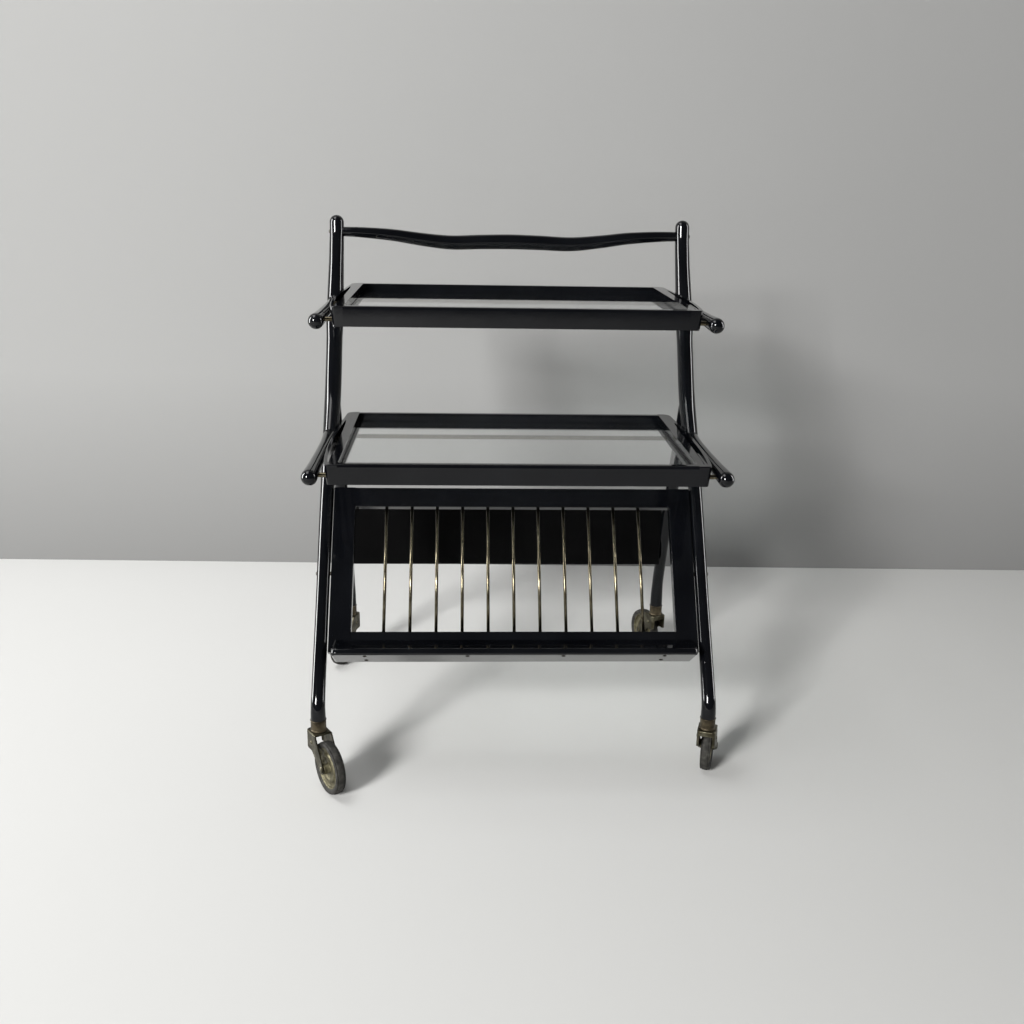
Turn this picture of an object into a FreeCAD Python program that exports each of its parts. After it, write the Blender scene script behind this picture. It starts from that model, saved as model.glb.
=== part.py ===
import FreeCAD, Part
import math
import os
import re
import Sketcher
from types import SimpleNamespace
from FreeCAD import Placement, Rotation, Vector

# Serving trolley of black lacquered wood: bent side frames joined by brass rods, two
# lift-off glass trays, a tilting barred magazine rack and four swivel casters.
# Millimetres, +Z up, front towards -Y. Depths are counted backwards from the front
# caster stems; at() turns them into the trolley's own frame.

BAR_COUNT = 11

SIZES = (
    ("side_spacing", 590.0, "side frames, centre to centre"),
    ("leg_foot_height", 105.0, "floor to the end of the wood of every leg"),
    ("upright_height", 703.0, "end of the wood to the centre of the domed top"),
    ("upright_reach", 439.5, "front foot to the domed top, in depth"),
    ("member_radius", 13.4, "side frame member"),
    ("rear_foot_depth", 458.0, "front foot to rear foot"),
    ("rear_foot_inset", 3.0, "rear foot nearer the middle than its fork"),
    ("fork_height", 443.0, "end of the wood to the fork of front and rear leg"),
    ("lower_arm_height", 480.0, "axis of the lower arms"),
    ("upper_arm_height", 681.0, "axis of the upper arms"),
    ("upper_arm_depth", 128.3, "lower arm's rounded end to the upper arm's"),
    ("knob_radius", 11.6, "rounded end of an arm"),
    ("arm_waist_radius", 9.3, "thinnest round of an arm"),
    ("arm_root_radius", 12.0, "arm where it meets the side frame"),
    ("rod_radius", 3.5, "brass rods under the trays"),
    ("rod_setback", 27.0, "front rod behind the arm's rounded end"),
    ("rod_seat", 7.0, "rod ends let into the side frames"),
    ("lower_rod_drop", 3.5, "lower rods below the arm axis"),
    ("handle_drop", 15.0, "centre of the domed top down to the push bar's axis"),
    ("handle_dip", 15.5, "how far the push bar dips between its ends"),
    ("handle_radius", 12.4, "push bar at its thickest"),
    ("screw_head_radius", 4.2, "screw and pin heads on the side frames"),
    ("screw_head_height", 2.4, "screw and pin heads on the side frames"),
    ("screw_head_sink", 0.8, "heads let into the round wood"),
    ("screw_shank_radius", 2.2, "screws through the uprights"),
    ("screw_grip", 22.0, "screw length inside the push bar"),
    ("board_setback", 5.8, "rear legs' axis, at the board's middle height, to the board"),
    ("board_end_gap", 10.5, "side frame's axis to the board's uncoped ends"),
    ("board_thickness", 10.0, "back board"),
    ("board_round", 2.0, "rounding of the back board's long edges"),
    ("board_bottom", 202.0, "floor to the back board"),
    ("board_height", 138.0, "back board"),
    ("tray_setback", 2.0, "tray's front behind the arm's rounded end centre"),
    ("tray_seat", 8.0, "rod axis above the tray's bottom edge"),
    ("tray_depth", 358.0, "tray, front to back"),
    ("tray_height", 29.8, "tray frame"),
    ("tray_gap_front", 20.0, "side frame's axis to the tray, front corner"),
    ("tray_gap_back", 18.0, "side frame's axis to the tray, back corner"),
    ("tray_half_front", "side_spacing / 2 - tray_gap_front", "middle of the tray to its front corner"),
    ("tray_half_back", "side_spacing / 2 - tray_gap_back", "middle of the tray to its back corner"),
    ("tray_bow", 7.2, "how far the tray ends bow out"),
    ("tray_front_corner", 6.0, "corner radius"),
    ("tray_back_corner", 15.0, "corner radius"),
    ("tray_edge_round", 1.4, "rounding of the tray's top edges"),
    ("rim_lean", 3.4, "tray end nearer the middle at its bottom edge"),
    ("rim_thickness", 5.4, "thin outer rim of a tray end"),
    ("rail_thickness", 13.0, "front and back rails"),
    ("end_bar_gap", 39.0, "side frame's axis to the inside of the tray's end bars"),
    ("bar_inner_half", "side_spacing / 2 - end_bar_gap", "middle of the tray to the end bars"),
    ("bar_front_width", 8.6, "end bar at the front of the hand slot"),
    ("bar_back_width", 16.2, "end bar at the back of the hand slot"),
    ("wedge_length", 65.0, "corner wedge in the front of the hand slot"),
    ("wedge_gap", 1.3, "groove on each side of the wedge"),
    ("wedge_tip_radius", 1.0, "wedge's rounded tip"),
    ("glass_seat", 13.1, "tray's bottom edge to the glass"),
    ("glass_thickness", 4.0, "glass pane"),
    ("glass_clearance", 0.3, "glass to the rails, each side"),
    ("ledge_width", 5.0, "rebate that carries the glass"),
    ("ledge_thickness", 4.4, "rebate that carries the glass"),
    ("rod_clearance", 0.3, "tray notch round a rod"),
    ("rack_lean", 34.85, "rack from upright, in degrees"),
    ("pivot_height", 293.6, "floor to the rack's pivot pins"),
    ("stile_gap", 12.0, "side frame's axis to the rack"),
    ("stile_width", 34.0, "stile of the rack"),
    ("stile_outer_half", "side_spacing / 2 - stile_gap", "middle of the rack to its outer edges"),
    ("stile_inner_half", "stile_outer_half - stile_width", "middle of the rack to its stiles"),
    ("panel_thickness", 15.0, "rack frame"),
    ("panel_round", 1.6, "rounding of the rack frame's long edges"),
    ("rack_top", 138.8, "pivot to the top of the rack"),
    ("rack_opening_top", 107.4, "pivot to the top of the barred opening"),
    ("rack_opening_bottom", 93.1, "pivot to the bottom of the barred opening"),
    ("rack_bottom", 125.0, "pivot to the bottom edge of the rack frame"),
    ("bar_radius", 2.5, "brass bars of the rack"),
    ("bar_margin", 49.0, "stile to the first brass bar"),
    ("bar_pitch", "2 * (stile_inner_half - bar_margin) / %d" % (BAR_COUNT - 1),
     "brass bars, centre to centre"),
    ("bar_seat", 9.0, "bar ends let into the rails"),
    ("shelf_gap", 20.0, "side frame's axis to the rack's shelf"),
    ("shelf_half", "side_spacing / 2 - shelf_gap", "middle of the rack to the ends of its shelf"),
    ("shelf_bottom", 135.6, "pivot to the shelf's underside"),
    ("shelf_nose_top", 126.6, "pivot to the top of the shelf's nose"),
    ("shelf_nose", 45.0, "middle of the panel to the shelf's nose"),
    ("shelf_back", 15.0, "middle of the panel to the shelf's back edge"),
    ("shelf_joint", 106.0, "pivot to the shelf's top where it meets the panel"),
    ("nose_round", 4.0, "rounding of the shelf's nose"),
    ("shelf_corner", 9.0, "rounding of the shelf's front corners"),
    ("shelf_screw_head_radius", 3.6, "screw heads under the shelf"),
    ("shelf_screw_head_height", 1.3, "screw heads under the shelf"),
    ("shelf_screw_radius", 1.7, "screws under the shelf"),
    ("shelf_screw_length", 15.0, "screws under the shelf"),
    ("shelf_screw_margin", 50.0, "shelf's end to the outer screws"),
    ("shelf_screw_outer", "shelf_half - shelf_screw_margin", "middle of the rack to the outer screws"),
    ("shelf_screw_inner", 72.0, "middle of the rack to the inner screws"),
    ("shelf_screw_front", 33.0, "middle of the panel to the front screws"),
    ("pin_radius", 3.0, "rack pivot pins"),
    ("pin_seat", 13.0, "pivot pins inside the stiles"),
    ("pin_end_gap", 0.5, "bore past the end of a pin or stem"),
    ("running_clearance", 0.05, "radial clearance of pins, stems and axles"),
    ("ferrule_radius", 11.6, "caster ferrule"),
    ("ferrule_foot", 2.2, "thicker foot of the ferrule, height"),
    ("ferrule_step", 0.6, "thicker foot and lip of the ferrule"),
    ("ferrule_height", 18.0, "caster ferrule"),
    ("ferrule_cap", 2.0, "ferrule above the stem"),
    ("stem_radius", 4.0, "caster stem"),
    ("swivel_gap", 0.3, "ferrule to the fork's top plate"),
    ("trail", 36.0, "stem axis to wheel axle"),
    ("wheel_radius", 40.0, "tyre"),
    ("tyre_width", 15.5, "tyre"),
    ("tyre_seat_radius", 31.5, "tyre's seat on the wheel disc"),
    ("hub_radius", 7.5, "wheel hub"),
    ("hub_gap", 0.3, "hub to the fork cheeks"),
    ("disc_width", 11.0, "wheel disc at its rim"),
    ("axle_radius", 3.0, "wheel axle"),
    ("axle_head_radius", 5.2, "axle heads"),
    ("axle_head_height", 1.8, "axle heads"),
    ("fork_width", 28.4, "caster fork outside its cheeks"),
    ("fork_plate", 2.2, "sheet of the caster fork"),
    ("fork_round", 6.0, "fork's front corners"),
    ("fork_edge_round", 1.8, "fork's top edges"),
    ("fork_nose", 15.0, "stem axis to the fork's front"),
    ("fork_shoulder", 15.0, "stem axis to the back of the fork's top plate"),
    ("fork_lip", 8.0, "fork top to the lower edge of its front lip"),
    ("fork_mouth_half", 10.3, "half the mouth below the front lip"),
    ("cheek_depth", 29.0, "fork cheek, top to bottom"),
    ("axle_boss", 6.8, "fork arm round the axle"),
    ("rivet_radius", 1.9, "cross rivets of the fork"),
    ("rivet_head_radius", 3.2, "cross rivets of the fork"),
    ("rivet_head_height", 1.5, "cross rivets of the fork"),
    ("rivet_trail", 3.0, "stem axis to the cross rivets"),
    ("rivet_drop", 16.0, "fork top to the cross rivets"),
    ("overrun", 5.0, "cutters past the faces they cut"),
)

# Casters: name, side, rear or front, and the direction of the trail as the trolley
# stands, in degrees from +X.
CASTERS = (
    ("front_left", -1, False, -58.0),
    ("front_right", 1, False, 72.0),
    ("rear_left", -1, True, -110.5),
    ("rear_right", 1, True, 112.0),
)
SIDES = (("left", -1), ("right", 1))

# Long member of a side frame from front foot to domed top: share of upright_reach,
# share of upright_height, lean from upright in degrees, share of member_radius.
LONG_LEG_SHARES = (
    (0.0000, 0.0000, 0.0, 0.843),
    (0.0000, 0.0099, 3.0, 0.836),
    (0.0059, 0.0298, 19.0, 0.806),
    (0.0228, 0.0496, 33.0, 0.784),
    (0.2134, 0.2210, 34.8, 0.761),
    (0.4264, 0.4115, 35.8, 0.806),
    (0.5620, 0.5135, 40.0, 0.910),
    (0.6978, 0.6078, 36.5, 1.000),
    (0.8064, 0.7322, 27.8, 0.993),
    (0.8440, 0.7830, 26.6, 1.080),
    (0.8760, 0.8199, 26.5, 1.020),
    (0.9732, 0.9418, 22.0, 0.918),
    (0.9943, 0.9787, 14.0, 0.896),
    (1.0000, 1.0000, 8.0, 0.896),
)
# Rear leg from the fork down: share of the way back to the foot, share of fork_height,
# lean, share of member_radius, share of rear_foot_inset.
REAR_LEG_SHARES = (
    (-0.022, 1.0000, -10.0, 0.60, 0.0),
    (0.016, 0.9236, -19.5, 0.89, 0.0),
    (0.452, 0.5820, -23.0, 0.82, 0.4),
    (0.8735, 0.2180, -18.0, 0.765, 0.9),
    (0.979, 0.1056, -11.0, 0.765, 1.0),
    (1.000, 0.0382, -1.5, 0.83, 1.0),
    (1.000, 0.0000, 0.0, 0.843, 1.0),
)
# Arm from its rounded end to the side frame: share of its length, share of the way
# from arm_waist_radius to knob_radius or, further back, to arm_root_radius.
ARM_FRONT_SHARES = ((0.00, 1.00), (0.07, 0.86), (0.22, 0.40), (0.50, 0.05))
ARM_BACK_SHARES = ((0.74, 0.08), (0.87, 0.42), (0.95, 0.85), (1.00, 1.00))
# Push bar from the middle to one end: share of half its length, share of handle_dip,
# shares of handle_radius up and down and front to back.
HANDLE_SHARES = (
    (0.00, 0.84, 1.00, 0.85),
    (0.17, 0.90, 0.98, 0.84),
    (0.35, 1.00, 0.95, 0.83),
    (0.52, 0.70, 0.88, 0.78),
    (0.68, 0.30, 0.80, 0.72),
    (0.86, 0.06, 0.69, 0.65),
    (1.00, 0.00, 0.62, 0.60),
)
# Tray end: share of tray_depth, share of tray_bow, and the hand slot's inner edge as a
# share of the way from bar_front_width to bar_back_width.
RIM_SHARES = (
    (0.039, 0.16, 0.00),
    (0.112, 0.51, 0.25),
    (0.210, 0.80, 0.34),
    (0.419, 1.00, 0.60),
    (0.600, 0.84, 0.72),
    (0.732, 0.56, 0.84),
    (0.805, 0.38, 1.00),
)
# Half sections of the wheel: share of tyre_seat_radius with share of half disc_width,
# then share of the tyre's height with share of half tyre_width.
DISC_SHARES = ((0.30, 0.46), (0.50, 0.42), (0.54, 0.70), (0.62, 0.78), (0.70, 0.70),
               (0.74, 0.42), (0.88, 0.46), (0.92, 1.00), (1.00, 1.00))
TYRE_SHARES = ((0.00, 0.71), (0.30, 0.94), (0.62, 1.00), (0.84, 0.92), (0.92, 0.78),
               (0.83, 0.73), (0.83, 0.62), (0.97, 0.57), (1.00, 0.30))
# Side of a caster fork below its top plate: shares of fork_nose, shares of cheek_depth.
CHEEK_SHARES = ((0.28, 1.00), (-0.50, 1.00), (-0.86, 0.90), (-1.00, 0.68))

doc = FreeCAD.newDocument("serving_trolley")
sheet = doc.addObject("Spreadsheet::Sheet", "Sizes")
for row, (name, value, meaning) in enumerate(SIZES, 1):
    sheet.set("A%d" % row, meaning)
    sheet.set("B%d" % row, "=" + value if isinstance(value, str) else str(value))
    sheet.setAlias("B%d" % row, name)
doc.recompute()
mm = SimpleNamespace(**{name: float(sheet.get(name)) for name, value, meaning in SIZES})
handle_height = mm.leg_foot_height + mm.upright_height - mm.handle_drop
nodes = []


def keep(thing, label):
    thing.Label = label
    nodes.append(thing)
    return thing


# Ties a property to a formula of the sheet's names.
def bind(thing, prop, formula):
    def from_sheet(word):
        return "Sizes." + word.group(0) if hasattr(mm, word.group(0)) else word.group(0)
    thing.setExpression(prop, re.sub(r"[a-z]\w+", from_sheet, formula))


# A shape worked out here from the sheet's values.
def solid_piece(name, shape):
    thing = doc.addObject("Part::Feature", name)
    thing.Shape = shape
    return thing


# A piece less its neighbours: coped ends, let-in rods, screw holes.
def less(label, base, tools):
    for number, tool in enumerate(tools, 1):
        cut = doc.addObject("Part::Cut", "%s_cut_%d" % (label, number))
        cut.Base = base
        cut.Tool = tool
        base = cut
    return base


def group(label, pieces):
    thing = doc.addObject("Part::Compound", label + "_group")
    thing.Links = pieces
    return thing


def cylinder(name, radius, length, place):
    thing = doc.addObject("Part::Cylinder", name)
    bind(thing, "Radius", radius)
    bind(thing, "Height", length)
    thing.Placement = place
    return thing


# Sketched bodies: a closed outline whose corners follow the sheet, padded or turned.
def sketched(name, role, corners):
    body = doc.addObject("PartDesign::Body", name + "_body")
    sketch = body.newObject("Sketcher::SketchObject", name + "_sketch")
    plane = [item for item in body.Origin.OriginFeatures if item.Role == role][0]
    sketch.AttachmentSupport = [(plane, "")]
    sketch.MapMode = "FlatFace"
    count = len(corners)
    turn = 2 * math.pi / count
    rough = [Vector(math.cos(i * turn), math.sin(i * turn), 0) for i in range(count)]
    for i in range(count):
        sketch.addGeometry(Part.LineSegment(rough[i], rough[(i + 1) % count]), False)
    for i in range(count):
        sketch.addConstraint(Sketcher.Constraint("Coincident", i, 2, (i + 1) % count, 1))
    for i, (across, up) in enumerate(corners):
        number = sketch.addConstraint(Sketcher.Constraint("DistanceX", -1, 1, i, 1, rough[i].x))
        bind(sketch, "Constraints[%d]" % number, across)
        number = sketch.addConstraint(Sketcher.Constraint("DistanceY", -1, 1, i, 1, rough[i].y))
        bind(sketch, "Constraints[%d]" % number, up)
    return body, sketch


def padded(name, role, corners, length):
    body, sketch = sketched(name, role, corners)
    feature = body.newObject("PartDesign::Pad", name + "_pad")
    feature.Profile = sketch
    feature.Midplane = True
    bind(feature, "Length", length)
    doc.recompute()
    return body


def turned(name, corners):
    body, sketch = sketched(name, "XZ_Plane", corners)
    feature = body.newObject("PartDesign::Revolution", name + "_turn")
    feature.Profile = sketch
    feature.ReferenceAxis = (sketch, ["V_Axis"])
    feature.Angle = 360
    doc.recompute()
    return body


# Rounds those edges of a body whose middle point and direction a test accepts.
def soften(body, radius, wanted):
    base = body.Tip
    chosen = []
    for number, edge in enumerate(base.Shape.Edges, 1):
        run = edge.Vertexes[-1].Point - edge.Vertexes[0].Point
        if run.Length > 0 and wanted(edge.CenterOfMass, run.normalize()):
            chosen.append("Edge%d" % number)
    feature = body.newObject("PartDesign::Fillet", "%s_round_%d" % (body.Name, len(body.Group)))
    feature.Base = (base, chosen)
    bind(feature, "Radius", radius)
    doc.recompute()


def soften_along_x(body, radius):
    soften(body, radius, lambda middle, run: abs(run.x) > 0.99)


# Domed head below z = 0 and shank above it.
def screw(head_radius, head_height, shank_radius, length):
    bulge = (head_radius ** 2 + head_height ** 2) / (2 * head_height)
    dome = Part.makeSphere(bulge, Vector(0, 0, bulge - head_height))
    head = dome.common(Part.makeCylinder(head_radius, head_height, Vector(0, 0, 0), Vector(0, 0, -1)))
    return head.fuse(Part.makeCylinder(shank_radius, length)).removeSplitter()


# Frame of the trolley: origin on the floor under the middle of its outline. The front
# left and the rear right wheels reach furthest out.
def wheel_reach(heading):
    turn = math.radians(heading)
    half_tyre = abs(math.cos(turn)) * mm.tyre_width / 2
    return (mm.trail + mm.wheel_radius) * abs(math.sin(turn)) + half_tyre


middle_depth = (mm.rear_foot_depth + wheel_reach(CASTERS[3][3]) - wheel_reach(CASTERS[0][3])) / 2
half_spacing = mm.side_spacing / 2
across_x = Rotation(Vector(0, 1, 0), 90)


def at(depth):
    return depth - middle_depth


# Round section of a side frame member, square to a line in the side's own plane.
def side_ring(across, depth, height, lean, radius):
    ring = Part.makeCircle(radius)
    ring.Placement = Placement(Vector(across, at(depth), height), Rotation(Vector(1, 0, 0), -lean))
    return Part.Wire(ring)


# Depth of the long member's axis and its radius at a height.
def leg_at(height):
    share = (height - mm.leg_foot_height) / mm.upright_height
    for low, high in zip(LONG_LEG_SHARES, LONG_LEG_SHARES[1:]):
        if low[1] <= share <= high[1]:
            way = (share - low[1]) / (high[1] - low[1])
            depth = low[0] + (high[0] - low[0]) * way
            radius = low[3] + (high[3] - low[3]) * way
            return depth * mm.upright_reach, radius * mm.member_radius


# Front leg and upright in one tapering bent member with a domed top.
def long_leg(side):
    rings = []
    for reach, rise, lean, thick in LONG_LEG_SHARES:
        depth = reach * mm.upright_reach
        height = mm.leg_foot_height + rise * mm.upright_height
        radius = thick * mm.member_radius
        rings.append(side_ring(side * half_spacing, depth, height, lean, radius))
    upwards = Rotation(Vector(1, 0, 0), -lean).multVec(Vector(0, 0, 1))
    dome = Part.makeSphere(radius, Vector(side * half_spacing, at(depth), height), upwards, 0, 90, 360)
    return Part.makeLoft(rings, True, False).fuse(dome)


def rear_leg_depth(back):
    fork_depth = leg_at(mm.leg_foot_height + mm.fork_height)[0]
    return fork_depth + back * (mm.rear_foot_depth - fork_depth)


# Depth of the rear legs' axis at a height.
def rear_leg_at(height):
    share = (height - mm.leg_foot_height) / mm.fork_height
    for high, low in zip(REAR_LEG_SHARES, REAR_LEG_SHARES[1:]):
        if low[1] <= share <= high[1]:
            way = (high[1] - share) / (high[1] - low[1])
            return rear_leg_depth(high[0] + (low[0] - high[0]) * way)


def rear_leg(side):
    rings = []
    for back, rise, lean, thick, inset in REAR_LEG_SHARES:
        across = side * (half_spacing - inset * mm.rear_foot_inset)
        depth = rear_leg_depth(back)
        height = mm.leg_foot_height + rise * mm.fork_height
        rings.append(side_ring(across, depth, height, lean, thick * mm.member_radius))
    return Part.makeLoft(rings, True, False)


# Level arm: ball-nosed, thin in the middle, flared towards the side frame.
def arm(side, knob_depth, height):
    length = leg_at(height)[0] - knob_depth
    rings = []
    for shares, end_radius in ((ARM_FRONT_SHARES, mm.knob_radius), (ARM_BACK_SHARES, mm.arm_root_radius)):
        for along, swell in shares:
            radius = mm.arm_waist_radius + swell * (end_radius - mm.arm_waist_radius)
            rings.append(side_ring(side * half_spacing, knob_depth + along * length, height, 90, radius))
    knob = Part.makeSphere(mm.knob_radius, Vector(side * half_spacing, at(knob_depth), height))
    return Part.makeLoft(rings, True, False).fuse(knob)


# Push bar: oval sections along X whose line dips twice between the uprights.
def handle_bar():
    rings = []
    for direction, shares in ((-1, HANDLE_SHARES[:0:-1]), (1, HANDLE_SHARES)):
        for along, dip, tall, deep in shares:
            oval = Part.Ellipse(Vector(0, 0, 0), tall * mm.handle_radius, deep * mm.handle_radius)
            section = oval.toShape()
            height = handle_height - dip * mm.handle_dip
            section.Placement = Placement(
                Vector(direction * along * half_spacing, at(leg_at(handle_height)[0]), height), across_x)
            rings.append(Part.Wire(section))
    return Part.makeLoft(rings, True, False)


# A headed screw or pin driven through a side frame towards the middle.
def side_screw(name, side, height, shank_radius, inner_end):
    depth, radius = leg_at(height)
    outside = half_spacing + radius - mm.screw_head_sink
    shape = screw(mm.screw_head_radius, mm.screw_head_height, shank_radius, outside - inner_end)
    thing = solid_piece(name, shape)
    inwards = Rotation(Vector(0, 0, 1), Vector(-side, 0, 0))
    thing.Placement = Placement(Vector(side * outside, at(depth), height), inwards)
    return thing


# Brass rods: a front one between the arms and a rear one between the side frames.
LEVELS = (
    ("lower", 0, mm.lower_arm_height, mm.lower_rod_drop),
    ("upper", mm.upper_arm_depth, mm.upper_arm_height, 0),
)
rods = {}
for level, knob_depth, arm_height, rod_drop in LEVELS:
    height = arm_height - rod_drop
    rod_places = (
        ("front", "knob_radius", mm.knob_radius, knob_depth + mm.rod_setback),
        ("rear", "member_radius", mm.member_radius, leg_at(height)[0]),
    )
    for word, into, into_radius, depth in rod_places:
        start = Vector(into_radius - mm.rod_seat - half_spacing, at(depth), height)
        label = "%s_%s_rod" % (level, word)
        length = "side_spacing - 2 * %s + 2 * rod_seat" % into
        rod = cylinder(label + "_solid", "rod_radius", length, Placement(start, across_x))
        rods[level, word] = keep(rod, label)

# Handle screws and rack pivot pins, one on each side.
handle_screws = []
pivot_pins = []
for word, side in SIDES:
    inner_end = half_spacing - leg_at(handle_height)[1] - mm.screw_grip
    handle_screws.append(
        side_screw("handle_screw_" + word, side, handle_height, mm.screw_shank_radius, inner_end))
    inner_end = mm.stile_outer_half - mm.pin_seat
    pivot_pins.append(side_screw("pivot_pin_" + word, side, mm.pivot_height, mm.pin_radius, inner_end))
keep(group("handle_screws", handle_screws), "handle_screws")
keep(group("rack_pivot_pins", pivot_pins), "rack_pivot_pins")

# Side frames: the rear leg and both arms are coped to the long member.
whole_legs = []
whole_rear_legs = []
for number, (word, side) in enumerate(SIDES):
    whole_leg = solid_piece("long_leg_%s_whole" % word, long_leg(side))
    whole_legs.append(whole_leg)
    let_in = [rods["lower", "rear"], rods["upper", "rear"], handle_screws[number], pivot_pins[number]]
    keep(less("long_leg_" + word, whole_leg, let_in), "long_leg_" + word)
    whole_rear = solid_piece("rear_leg_%s_whole" % word, rear_leg(side))
    whole_rear_legs.append(whole_rear)
    keep(less("rear_leg_" + word, whole_rear, [whole_leg]), "rear_leg_" + word)
    for level, knob_depth, arm_height, rod_drop in LEVELS:
        label = "%s_arm_%s" % (level, word)
        whole_arm = solid_piece(label + "_whole", arm(side, knob_depth, arm_height))
        near = [whole_leg, rods[level, "front"], rods[level, "rear"]]
        keep(less(label, whole_arm, near), label)

whole_handle = solid_piece("handle_bar_whole", handle_bar())
keep(less("handle_bar", whole_handle, handle_screws + whole_legs), "handle_bar")

# Back board, its ends coped to the rear legs.
board_top = "board_bottom + board_height"
board_half = "(side_spacing / 2 - board_end_gap)"
board = padded("back_board", "XZ_Plane", (
    ("-" + board_half, "board_bottom"), (board_half, "board_bottom"),
    (board_half, board_top), ("-" + board_half, board_top)), "board_thickness")
soften_along_x(board, "board_round")
board_depth = rear_leg_at(mm.board_bottom + mm.board_height / 2) + mm.board_setback
board.Placement = Placement(Vector(0, at(board_depth), 0), Rotation())
keep(less("back_board", board, whole_rear_legs), "back_board")

# Magazine rack: drawn upright round its pivot, front towards -Y, then leaned back.
rack_place = Placement(Vector(0, at(leg_at(mm.pivot_height)[0]), mm.pivot_height),
                       Rotation(Vector(1, 0, 0), -mm.rack_lean))


def in_rack(across, forward, up):
    return rack_place.multiply(Placement(Vector(across, -forward, up), Rotation()))


bars = []
bar_length = "rack_opening_top + rack_opening_bottom + 2 * bar_seat"
for i in range(BAR_COUNT):
    across = (i - (BAR_COUNT - 1) / 2) * mm.bar_pitch
    foot = in_rack(across, 0, -mm.rack_opening_bottom - mm.bar_seat)
    bars.append(cylinder("rack_bar_%d" % (i + 1), "bar_radius", bar_length, foot))
rack_bars = keep(group("rack_bars", bars), "rack_bars")

shelf_screws = []
screw_places = []
for side in (-1, 1):
    screw_places.append((side * mm.shelf_screw_outer, mm.shelf_screw_front))
    screw_places.append((side * mm.shelf_screw_inner, mm.shelf_screw_front))
    screw_places.append((side * mm.shelf_screw_outer, 0))
for number, (across, forward) in enumerate(screw_places, 1):
    shape = screw(mm.shelf_screw_head_radius, mm.shelf_screw_head_height,
                  mm.shelf_screw_radius, mm.shelf_screw_length)
    piece = solid_piece("rack_ledge_screw_%d" % number, shape)
    piece.Placement = in_rack(across, forward, -mm.shelf_bottom)
    shelf_screws.append(piece)
screws = keep(group("rack_ledge_screws", shelf_screws), "rack_ledge_screws")

rack_rails = (
    ("rack_top_rail", "rack_opening_top", "rack_top", [rack_bars]),
    ("rack_bottom_rail", "-rack_bottom", "-rack_opening_bottom", [rack_bars, screws]),
)
for label, low, high, let_in in rack_rails:
    body = padded(label, "XZ_Plane", (
        ("-stile_inner_half", low), ("stile_inner_half", low),
        ("stile_inner_half", high), ("-stile_inner_half", high)), "panel_thickness")
    soften_along_x(body, "panel_round")
    body.Placement = rack_place
    keep(less(label, body, let_in), label)

for word, side in SIDES:
    label = "rack_stile_" + word
    near = "%d * stile_inner_half" % side
    far = "%d * stile_outer_half" % side
    body = padded(label, "XZ_Plane", (
        (near, "-rack_bottom"), (far, "-rack_bottom"), (far, "rack_top"), (near, "rack_top")),
        "panel_thickness")
    soften(body, "panel_round", lambda middle, run: abs(run.z) > 0.99)
    body.Placement = rack_place
    bore_start = mm.stile_outer_half - mm.pin_seat - mm.pin_end_gap
    outwards = Placement(Vector(), Rotation(Vector(0, 1, 0), side * 90))
    bore_place = in_rack(side * bore_start, 0, 0).multiply(outwards)
    bore = cylinder(label + "_bore", "pin_radius + running_clearance",
                    "pin_seat + pin_end_gap + overrun", bore_place)
    keep(less(label, body, [bore]), label)

# Shelf of the rack: its top, nearly level as the rack leans, rises a little to the
# rounded nose; its underside is square to the panel.
shelf = padded("rack_ledge", "YZ_Plane", (
    ("shelf_back", "-shelf_bottom"), ("shelf_back", "-rack_bottom"),
    ("-panel_thickness / 2", "-rack_bottom"), ("-panel_thickness / 2", "-shelf_joint"),
    ("-shelf_nose", "-shelf_nose_top"), ("-shelf_nose", "-shelf_bottom")), "2 * shelf_half")
soften(shelf, "shelf_corner",
       lambda middle, run: abs(run.z) > 0.99 and middle.y < -mm.shelf_nose + mm.nose_round)
soften(shelf, "nose_round",
       lambda middle, run: abs(run.x) > 0.99 and middle.y < -mm.shelf_nose + mm.nose_round)
shelf.Placement = rack_place
keep(less("rack_ledge", shelf, [screws]), "rack_ledge")


# Tray ends: one outline at the bottom edge and one at the top, leaning apart.
def lean_at(height):
    return mm.rim_lean * (1 - height / mm.tray_height)


def smooth(points):
    curve = Part.BSplineCurve()
    curve.interpolate(points)
    return curve.toShape()


def straight(start, end):
    return Part.LineSegment(start, end).toShape()


def corner_arc(across, depth, height, radius, start, end):
    arc = Part.Circle(Vector(across, depth, height), Vector(0, 0, 1), radius)
    return arc.toShape(math.radians(start), math.radians(end))


def rim_point(share, height, inwards):
    along, bow, bar = share
    across = mm.tray_half_front + along * (mm.tray_half_back - mm.tray_half_front)
    across += bow * mm.tray_bow - lean_at(height) - inwards
    return Vector(across, along * mm.tray_depth, height)


def bar_point(share, height):
    along, bow, bar = share
    width = mm.bar_front_width + bar * (mm.bar_back_width - mm.bar_front_width)
    return Vector(mm.bar_inner_half + width - lean_at(height), along * mm.tray_depth, height)


def tray_end_outline(height):
    front = Vector(mm.tray_half_front - lean_at(height), mm.tray_front_corner, height)
    back = Vector(mm.tray_half_back - lean_at(height), mm.tray_depth - mm.tray_back_corner, height)
    inner_front = Vector(mm.bar_inner_half, 0, height)
    inner_back = Vector(mm.bar_inner_half, mm.tray_depth, height)
    front_x = front.x - mm.tray_front_corner
    back_x = back.x - mm.tray_back_corner
    rim = smooth([front] + [rim_point(share, height, 0) for share in RIM_SHARES] + [back])
    return Part.Wire([
        straight(inner_front, Vector(front_x, 0, height)),
        corner_arc(front_x, front.y, height, mm.tray_front_corner, -90, 0),
        rim,
        corner_arc(back_x, back.y, height, mm.tray_back_corner, 0, 90),
        straight(Vector(back_x, mm.tray_depth, height), inner_back),
        straight(inner_back, inner_front)])


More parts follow.
